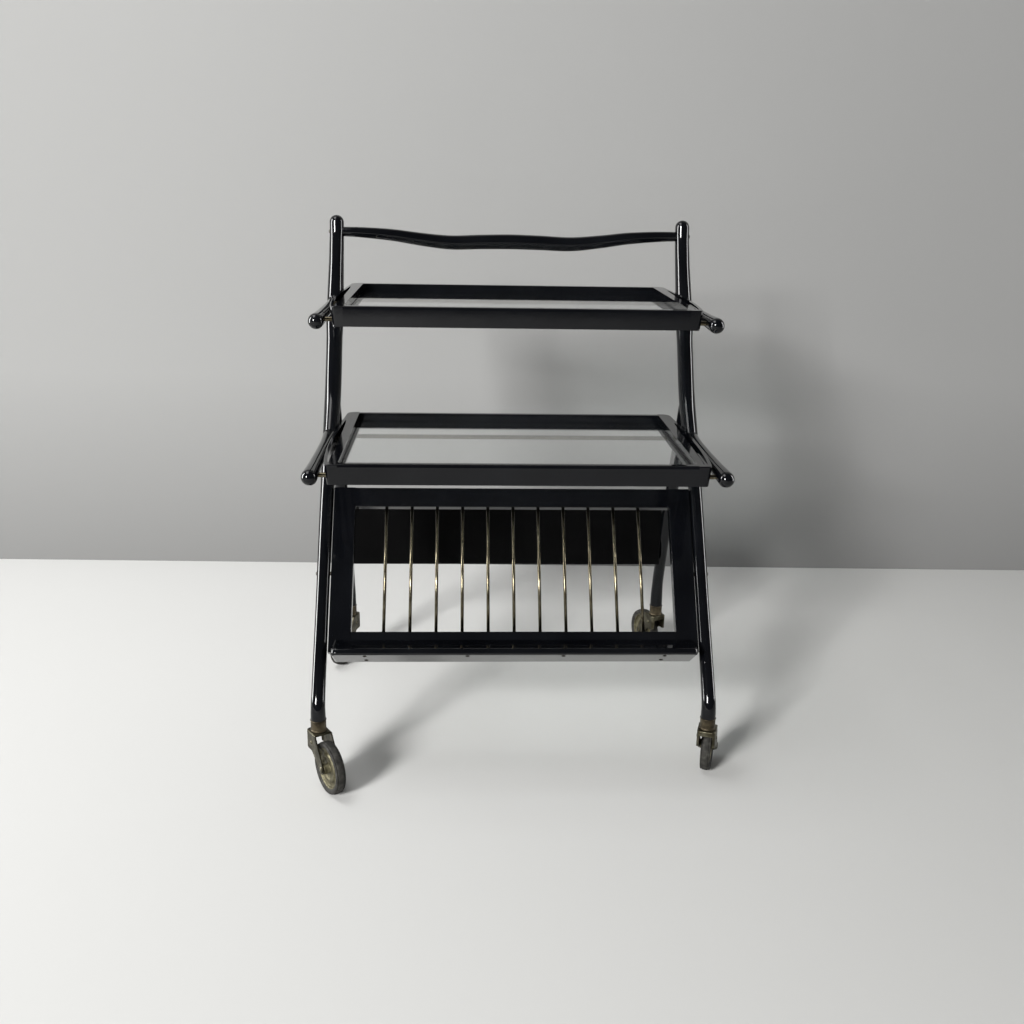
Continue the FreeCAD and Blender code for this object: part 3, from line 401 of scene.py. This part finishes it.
# A value between stations, its slope carried smoothly through each of them.
def eased(stations, n, along):
    slopes = []
    for k, here in enumerate(stations):
        before = stations[k - 1] if k else (-stations[1][0],) + stations[1][1:]
        after = stations[min(k + 1, len(stations) - 1)]
        slopes.append((after[n] - before[n]) / (after[0] - before[0]))
    k = max(i for i in range(len(stations) - 1) if stations[i][0] <= along)
    here, there = stations[k], stations[k + 1]
    width = there[0] - here[0]
    from_start, from_leave, from_end, from_arrive = smooth_shares((along - here[0]) / width)
    return (here[n] * from_start + there[n] * from_end
            + width * (slopes[k] * from_leave + slopes[k + 1] * from_arrive))


def object_of(name, shell, finish):
    mesh = bpy.data.meshes.new(name)
    shell.to_mesh(mesh)
    shell.free()
    mesh.materials.append(finish)
    made = bpy.data.objects.new(name, mesh)
    bpy.context.scene.collection.objects.link(made)
    return made


shell = bmesh.new()
rings = []
for i in range(-rings_each_way, rings_each_way + 1):
    along = abs(i) / rings_each_way * push_bar_stations[-1][0]
    dip, tall, deep = [eased(push_bar_stations, n, along) for n in (1, 2, 3)]
    centre = at(math.copysign(along, i) * half_spacing, bar_depth, bar_height - bar_dip * dip)
    ring = []
    for k in range(push_bar_sides):
        angle = 2 * math.pi * k / push_bar_sides
        outwards = Vector((0, deep * math.sin(angle), tall * math.cos(angle)))
        ring.append(shell.verts.new(centre + outwards / 1000))
    rings.append(ring)
for low, high in zip(rings, rings[1:]):
    for k in range(push_bar_sides):
        after = (k + 1) % push_bar_sides
        shell.faces.new((low[k], low[after], high[after], high[k]))
shell.faces.new(rings[0][::-1])
shell.faces.new(rings[-1])
for face in shell.faces:
    face.smooth = True
bmesh.ops.recalc_face_normals(shell, faces=shell.faces)
settle("push_bar_shaped", object_of("push_bar_loft", shell, lacquer), "frame", "lacquer", "handle_bar")

# Brass rods under the trays: plain drawn rod, browned by age. Each runs from side frame
# to side frame, with its ends let into the wood.
brass, tree, shader = new_finish("aged_brass")
shader.inputs["Metallic"].default_value = 1.0
tarnish = noise_on_object(tree, scale=90.0, detail=6.0)
browned_brass = ((0.30, (0.070, 0.058, 0.036)), (0.52, (0.12, 0.104, 0.070)), (0.72, (0.185, 0.166, 0.118)))
tree.links.new(ramp_of(tree, tarnish, browned_brass), shader.inputs["Base Color"])
spots = noise_on_object(tree, scale=220.0, detail=3.0)
tree.links.new(range_of(tree, spots, low=0.14, high=0.30), shader.inputs["Roughness"])
drawn = noise_on_object(tree, scale=400.0, detail=2.0)
tree.links.new(bump_of(tree, drawn, strength=0.08, depth=0.3), shader.inputs["Normal"])

rod_radius, rod_sides = 3.5, 32
# Each rod: node, depth, height, and how far it reaches from the middle.
rods = (("lower_front_rod", 27.0, 476.5, 290.4), ("lower_rear_rod", 256.5, 476.5, 288.6),
        ("upper_front_rod", 155.3, 681.0, 290.4), ("upper_rear_rod", 384.8, 681.0, 288.6))
for name, depth, height, reach in rods:
    line = [(at(across, depth, height), rod_radius / 1000) for across in (-reach, 0, reach)]
    round_member(name + "_drawn", line, rod_sides, brass, "frame", "brass", name)

# Screws and pivot pins: brass with domed heads, gone black, let into the outsides of
# the side frames. The screws hold the push bar, and the rack turns on the pins.
flat_within, sharp_from = math.radians(0.4), math.radians(32)


# Sharp edges stay sharp, and elsewhere the larger faces lead the shading.
def shade_by_faces(made):
    weight = made.modifiers.new("flat_faces_first", "WEIGHTED_NORMAL")
    weight.keep_sharp = True


# Takes over a solid's own form: points and flat faces are merged, edges may be worn.
def polished(name, node, body, slot, finish, worn=0.0):
    made = bpy.data.objects.new(name, nodes[node].data.copy())
    bpy.context.scene.collection.objects.link(made)
    solid = bmesh.new()
    solid.from_mesh(made.data)
    bmesh.ops.remove_doubles(solid, verts=solid.verts, dist=equal_points / 1000)
    bmesh.ops.dissolve_limit(solid, angle_limit=flat_within, verts=solid.verts, edges=solid.edges)
    for edge in solid.edges:
        edge.smooth = len(edge.link_faces) == 2 and edge.calc_face_angle(0) < sharp_from
    for face in solid.faces:
        face.smooth = True
        face.material_index = 0
    solid.to_mesh(made.data)
    solid.free()
    made.data.materials.clear()
    made.data.materials.append(finish)
    if worn:
        bevel = made.modifiers.new("worn_edges", "BEVEL")
        bevel.width = worn / 1000
        bevel.segments = 2
        bevel.limit_method = "ANGLE"
        bevel.angle_limit = sharp_from
    shade_by_faces(made)
    return settle(name, made, body, slot, node)


blackened, tree, shader = new_finish("blackened_screw_heads")
shader.inputs["Metallic"].default_value = 0.8
soot = noise_on_object(tree, scale=300.0, detail=4.0)
soot_colours = ((0.35, (0.010, 0.009, 0.008)), (0.70, (0.055, 0.048, 0.036)))
tree.links.new(ramp_of(tree, soot, soot_colours), shader.inputs["Base Color"])
tree.links.new(range_of(tree, soot, low=0.5, high=0.3), shader.inputs["Roughness"])
for node in ("handle_screws", "rack_pivot_pins"):
    polished(node + "_domed", node, "frame", "brass", blackened)

# Back board: a plain board between the rear legs, coped to them, painted black but
# never polished, so it hardly shines.
matt_lacquer, tree, shader = new_finish("matt_black_lacquer")
cloudy = noise_on_object(tree, scale=12.0, detail=5.0)
cloudy_blacks = ((0.30, (0.0005, 0.0005, 0.0006)), (0.72, (0.0014, 0.0014, 0.0015)))
tree.links.new(ramp_of(tree, cloudy, cloudy_blacks), shader.inputs["Base Color"])
tree.links.new(range_of(tree, cloudy, low=0.45, high=0.6), shader.inputs["Roughness"])
shader.inputs["Specular IOR Level"].default_value = 0.04
polished("back_board_lacquered", "back_board", "frame", "lacquer", matt_lacquer)

# Trays: two alike, front and back rails between bowed ends with a hand slot each. The
# rails are stuck mouldings with a well rounded outer top edge and a rebate for the
# glass; they are glued between the ends.
tray_depth, rail_half_length = 358.0, 256.0
rail_width, rail_height = 13.0, 29.8
glass_seat, rebate_width, rebate_thickness = 13.1, 5.0, 4.4
outer_round, inner_round, under_round = 4.5, 1.6, 0.8
steps_in_round = 8


# A quarter of a circle round a centre, from a start in degrees.
def quarter(centre_depth, centre_height, radius, start):
    angles = [math.radians(start + 90 * i / steps_in_round) for i in range(steps_in_round + 1)]
    return [(centre_depth + radius * math.cos(a), centre_height + radius * math.sin(a)) for a in angles]


rail_section = quarter(rail_width - inner_round, rail_height - inner_round, inner_round, 0)
rail_section += quarter(outer_round, rail_height - outer_round, outer_round, 90)
rail_section += quarter(under_round, under_round, under_round, 180)
rail_section += quarter(rail_width - under_round, under_round, under_round, 270)
rail_section += [(rail_width, glass_seat - rebate_thickness),
                 (rail_width + rebate_width, glass_seat - rebate_thickness),
                 (rail_width + rebate_width, glass_seat), (rail_width, glass_seat)]


def moulded_rail(level, word, front, bottom):
    section = rail_section
    if word == "back":
        section = [(tray_depth - depth, up) for depth, up in rail_section]
    shell = bmesh.new()
    left, right = [[shell.verts.new(at(across, front + depth, bottom + up)) for depth, up in section]
                   for across in (-rail_half_length, rail_half_length)]
    for i in range(len(section)):
        after = (i + 1) % len(section)
        shell.faces.new((left[i], left[after], right[after], right[i]))
    shell.faces.new(left[::-1])
    shell.faces.new(right)
    bmesh.ops.recalc_face_normals(shell, faces=shell.faces)
    for face in shell.faces:
        face.smooth = True
    for edge in shell.edges:
        edge.smooth = edge.calc_face_angle(0) < sharp_from
    made = object_of("%s_%s_moulding" % (level, word), shell, lacquer)
    shade_by_faces(made)
    settle("%s_tray_%s_rail_moulded" % (level, word), made, level + "_tray", "lacquer",
           "%s_tray_%s_rail" % (level, word))


# Each tray: level, depth of its front, height of its bottom edge.
for level, front, bottom in (("lower", 2.0, 468.5), ("upper", 130.3, 673.0)):
    for word in ("front", "back"):
        moulded_rail(level, word, front, bottom)
    for word in ("left", "right"):
        node = "%s_tray_end_%s" % (level, word)
        polished(node + "_lacquered", node, level + "_tray", "lacquer", lacquer)

# Glass panes: clear float glass with ground edges, lying loose in the rebates. Their
# shadow is that of clear glass, without bright lines under the edges.
glass, tree, shader = new_finish("clear_glass")
shader.inputs["Base Color"].default_value = (0.93, 0.955, 0.945, 1.0)
shader.inputs["Transmission Weight"].default_value = 1.0
shader.inputs["IOR"].default_value = 1.5
smears = noise_on_object(tree, scale=14.0, detail=5.0)
tree.links.new(range_of(tree, smears, low=0.0, high=0.035), shader.inputs["Roughness"])
rays = tree.nodes.new("ShaderNodeLightPath")
clear = tree.nodes.new("ShaderNodeBsdfTransparent")
clear.inputs["Color"].default_value = (0.90, 0.92, 0.915, 1.0)
mixed = tree.nodes.new("ShaderNodeMixShader")
tree.links.new(rays.outputs["Is Shadow Ray"], mixed.inputs["Fac"])
tree.links.new(shader.outputs["BSDF"], mixed.inputs[1])
tree.links.new(clear.outputs["BSDF"], mixed.inputs[2])
tree.links.new(mixed.outputs["Shader"], tree.nodes["Material Output"].inputs["Surface"])
for level in ("lower", "upper"):
    polished(level + "_tray_pane", level + "_tray_glass", level + "_tray", "glass", glass, worn=0.6)

# Magazine rack: a lacquered frame of two stiles and two rails with a shelf screwed on
# below, filled with a row of brass bars let into the rails. It turns on two pins.
for node in ("rack_stile_left", "rack_stile_right", "rack_top_rail", "rack_bottom_rail", "rack_ledge"):
    polished(node + "_lacquered", node, "rack", "lacquer", lacquer)
polished("rack_ledge_screws_domed", "rack_ledge_screws", "rack", "brass", blackened)

pivot_depth, pivot_height = 117.02, 293.6
rack_lean = math.radians(34.85)
opening_top, opening_bottom = 107.4, 93.1
bar_count, bar_pitch, bar_radius, bar_seat = 11, 40.0, 2.5, 9.0
bar_sides = 28


# Geometry Nodes: a row of round bars at one pitch, all leaning the same way.
def bar_row_tree():
    tree = bpy.data.node_groups.new("bar_row", "GeometryNodeTree")
    inputs = (("Count", "Int"), ("Sides", "Int"), ("Pitch", "Float"), ("Bar Radius", "Float"),
              ("Bar Length", "Float"), ("Lean", "Float"), ("First Bar", "Vector"), ("Finish", "Material"))
    for label, kind in inputs:
        tree.interface.new_socket(label, in_out="INPUT", socket_type="NodeSocket" + kind)
    tree.interface.new_socket("Geometry", in_out="OUTPUT", socket_type="NodeSocketGeometry")
    start = tree.nodes.new("NodeGroupInput")
    end = tree.nodes.new("NodeGroupOutput")
    pitch = tree.nodes.new("ShaderNodeCombineXYZ")
    row = tree.nodes.new("GeometryNodeMeshLine")
    tree.links.new(start.outputs["Pitch"], pitch.inputs["X"])
    tree.links.new(start.outputs["Count"], row.inputs["Count"])
    tree.links.new(start.outputs["First Bar"], row.inputs["Start Location"])
    tree.links.new(pitch.outputs["Vector"], row.inputs["Offset"])
    bar = tree.nodes.new("GeometryNodeMeshCylinder")
    turn = tree.nodes.new("ShaderNodeCombineXYZ")
    tree.links.new(start.outputs["Sides"], bar.inputs["Vertices"])
    tree.links.new(start.outputs["Bar Radius"], bar.inputs["Radius"])
    tree.links.new(start.outputs["Bar Length"], bar.inputs["Depth"])
    tree.links.new(start.outputs["Lean"], turn.inputs["X"])
    place = tree.nodes.new("GeometryNodeInstanceOnPoints")
    tree.links.new(row.outputs["Mesh"], place.inputs["Points"])
    tree.links.new(bar.outputs["Mesh"], place.inputs["Instance"])
    tree.links.new(turn.outputs["Vector"], place.inputs["Rotation"])
    smooth = tree.nodes.new("GeometryNodeSetShadeSmooth")
    real = tree.nodes.new("GeometryNodeRealizeInstances")
    paint = tree.nodes.new("GeometryNodeSetMaterial")
    tree.links.new(place.outputs["Instances"], smooth.inputs["Geometry"])
    tree.links.new(smooth.outputs["Geometry"], real.inputs["Geometry"])
    tree.links.new(real.outputs["Geometry"], paint.inputs["Geometry"])
    tree.links.new(start.outputs["Finish"], paint.inputs["Material"])
    tree.links.new(paint.outputs["Geometry"], end.inputs["Geometry"])
    return tree


made = bpy.data.objects.new("rack_bar_row", bpy.data.meshes.new("rack_bar_row"))
bpy.context.scene.collection.objects.link(made)
along_rack = Vector((0, math.sin(rack_lean), math.cos(rack_lean))) * (opening_top - opening_bottom) / 2 / 1000
first_bar = at(-bar_pitch * (bar_count - 1) / 2, pivot_depth, pivot_height) + along_rack
give_tree(made, bar_row_tree(), {
    "Count": bar_count, "Sides": bar_sides, "Pitch": bar_pitch / 1000, "Bar Radius": bar_radius / 1000,
    "Bar Length": (opening_top + opening_bottom + 2 * bar_seat) / 1000, "Lean": -rack_lean,
    "First Bar": tuple(first_bar), "Finish": brass})
settle("rack_bars_drawn", made, "rack", "brass", "rack_bars")

# Casters: a brass ferrule on each foot, a pressed fork turning in it, a bronze disc
# wheel with raised rings and a hard grey tyre, on an axle with upset heads.
ferrule_foot, trail, wheel_radius = 87.0, 36.0, 40.0
ferrule_sides, wheel_sides, axle_sides = 64, 112, 40
touching_points, turned_sharp_from = 1e-3, math.radians(38)


# A closed profile of radius and place along the axis, turned about that axis.
def turned_piece(name, profile, sides, finish, place):
    shell = bmesh.new()
    rings = []
    for radius, along in profile:
        angles = [2 * math.pi * i / sides for i in range(sides)]
        rings.append([shell.verts.new(Vector((radius * math.cos(a), radius * math.sin(a), along)) / 1000)
                      for a in angles])
    for n, low in enumerate(rings):
        high = rings[(n + 1) % len(rings)]
        for i in range(sides):
            after = (i + 1) % sides
            shell.faces.new((low[i], low[after], high[after], high[i]))
    bmesh.ops.remove_doubles(shell, verts=shell.verts, dist=touching_points / 1000)
    bmesh.ops.recalc_face_normals(shell, faces=shell.faces)
    for face in shell.faces:
        face.smooth = True
    for edge in shell.edges:
        edge.smooth = edge.calc_face_angle(0) < turned_sharp_from
    shell.transform(place)
    return object_of(name, shell, finish)


# Old metal or rubber: one mottled pattern gives colour, gloss and relief together.
def aged_finish(name, metallic, scale, detail, colours, dull, bright, relief, relief_depth):
    finish, tree, shader = new_finish(name)
    shader.inputs["Metallic"].default_value = metallic
    age = noise_on_object(tree, scale, detail)
    tree.links.new(ramp_of(tree, age, colours), shader.inputs["Base Color"])
    tree.links.new(range_of(tree, age, dull, bright), shader.inputs["Roughness"])
    tree.links.new(bump_of(tree, age, relief, relief_depth), shader.inputs["Normal"])
    return finish


ferrule_brass = aged_finish(
    "browned_ferrule", metallic=0.85, scale=90.0, detail=7.0,
    colours=((0.30, (0.022, 0.017, 0.010)), (0.55, (0.072, 0.058, 0.036)), (0.75, (0.125, 0.103, 0.066))),
    dull=0.62, bright=0.38, relief=0.15, relief_depth=0.4)
fork_metal = aged_finish(
    "worn_plated_fork", metallic=0.9, scale=70.0, detail=8.0,
    colours=((0.30, (0.014, 0.012, 0.007)), (0.50, (0.050, 0.045, 0.028)), (0.72, (0.15, 0.14, 0.10))),
    dull=0.55, bright=0.26, relief=0.12, relief_depth=0.4)
disc_bronze = aged_finish(
    "dull_bronze_disc", metallic=0.7, scale=110.0, detail=8.0,
    colours=((0.30, (0.032, 0.028, 0.015)), (0.52, (0.085, 0.076, 0.043)), (0.72, (0.15, 0.137, 0.086))),
    dull=0.68, bright=0.42, relief=0.2, relief_depth=0.5)
tyre_rubber = aged_finish(
    "hard_grey_tyre", metallic=0.0, scale=130.0, detail=7.0,
    colours=((0.30, (0.010, 0.0095, 0.0085)), (0.55, (0.026, 0.025, 0.022)), (0.75, (0.050, 0.048, 0.043))),
    dull=0.85, bright=0.6, relief=0.3, relief_depth=0.5)
tyre_rubber.node_tree.nodes["Principled BSDF"].inputs["Specular IOR Level"].default_value = 0.2


def both_faces(half):
    return list(half) + [(radius, -along) for radius, along in reversed(half)]


ferrule_profile = (
    (4.05, 0.0), (11.9, 0.0), (12.2, 0.3), (12.2, 2.0), (11.9, 2.5), (11.6, 2.8), (11.5, 9.0), (11.6, 16.2),
    (11.75, 16.7), (12.1, 17.0), (12.2, 17.4), (12.0, 17.8), (11.6, 18.0), (0.0, 18.0), (0.0, 16.5),
    (4.05, 16.5))
disc_profile = both_faces((
    (3.05, -11.7), (6.9, -11.7), (7.5, -11.2), (7.5, -3.6), (8.2, -2.7), (9.4, -2.4), (15.6, -2.3),
    (16.4, -2.7), (17.0, -3.7), (18.2, -4.2), (19.6, -4.3), (21.0, -4.1), (22.0, -3.6), (22.8, -2.7),
    (23.6, -2.4), (27.0, -2.5), (28.2, -3.0), (28.9, -4.4), (29.4, -5.2), (30.2, -5.5), (31.5, -5.5)))
tyre_profile = both_faces((
    (31.5, -5.5), (32.4, -6.3), (34.0, -7.2), (36.0, -7.65), (37.6, -7.6), (38.5, -7.2), (39.1, -6.4),
    (39.2, -5.9), (38.6, -5.6), (38.5, -4.9), (39.2, -4.6), (39.7, -4.0), (39.95, -2.4), (wheel_radius, 0.0)))
axle_profile = both_faces((
    (0.0, -16.0), (2.6, -15.9), (4.2, -15.5), (5.2, -14.9), (5.2, -14.2), (3.0, -14.2)))

rear_stem_depth, rear_foot_inset = 458.0, 3.0
# Each caster: name, side and depth of its stem, and where its wheel trails, in degrees.
casters = (("front_left", -half_spacing, 0.0, -58.0),
           ("front_right", half_spacing, 0.0, 72.0),
           ("rear_left", rear_foot_inset - half_spacing, rear_stem_depth, -110.5),
           ("rear_right", half_spacing - rear_foot_inset, rear_stem_depth, 112.0))
for name, across, depth, heading in casters:
    stem = Matrix.Translation(at(across, depth, 0)) @ Matrix.Rotation(math.radians(heading), 4, "Z")
    wheel_centre = Matrix.Translation(Vector((trail, 0, wheel_radius)) / 1000)
    wheel = stem @ wheel_centre @ Matrix.Rotation(math.radians(90), 4, "X")
    foot = stem @ Matrix.Translation((0, 0, ferrule_foot / 1000))
    ferrule = turned_piece(name + "_ferrule", ferrule_profile, ferrule_sides, ferrule_brass, foot)
    settle("ferrule_turned_" + name, ferrule, "frame", "ferrule_brass", "ferrule_" + name)
    tyre = turned_piece(name + "_tyre", tyre_profile, wheel_sides, tyre_rubber, wheel)
    settle("tyre_moulded_" + name, tyre, "wheel_" + name, "tyre", "tyre_" + name)
    disc = turned_piece(name + "_disc", disc_profile, wheel_sides, disc_bronze, wheel)
    settle("disc_pressed_" + name, disc, "wheel_" + name, "wheel_bronze", "wheel_disc_" + name)
    axle = turned_piece(name + "_axle", axle_profile, axle_sides, fork_metal, wheel)
    settle("axle_headed_" + name, axle, "fork_" + name, "fork_metal", "axle_" + name)
    polished("fork_pressed_" + name, "yoke_" + name, "fork_" + name, "fork_metal", fork_metal)
    polished("rivets_headed_" + name, "rivets_" + name, "fork_" + name, "fork_metal", fork_metal)
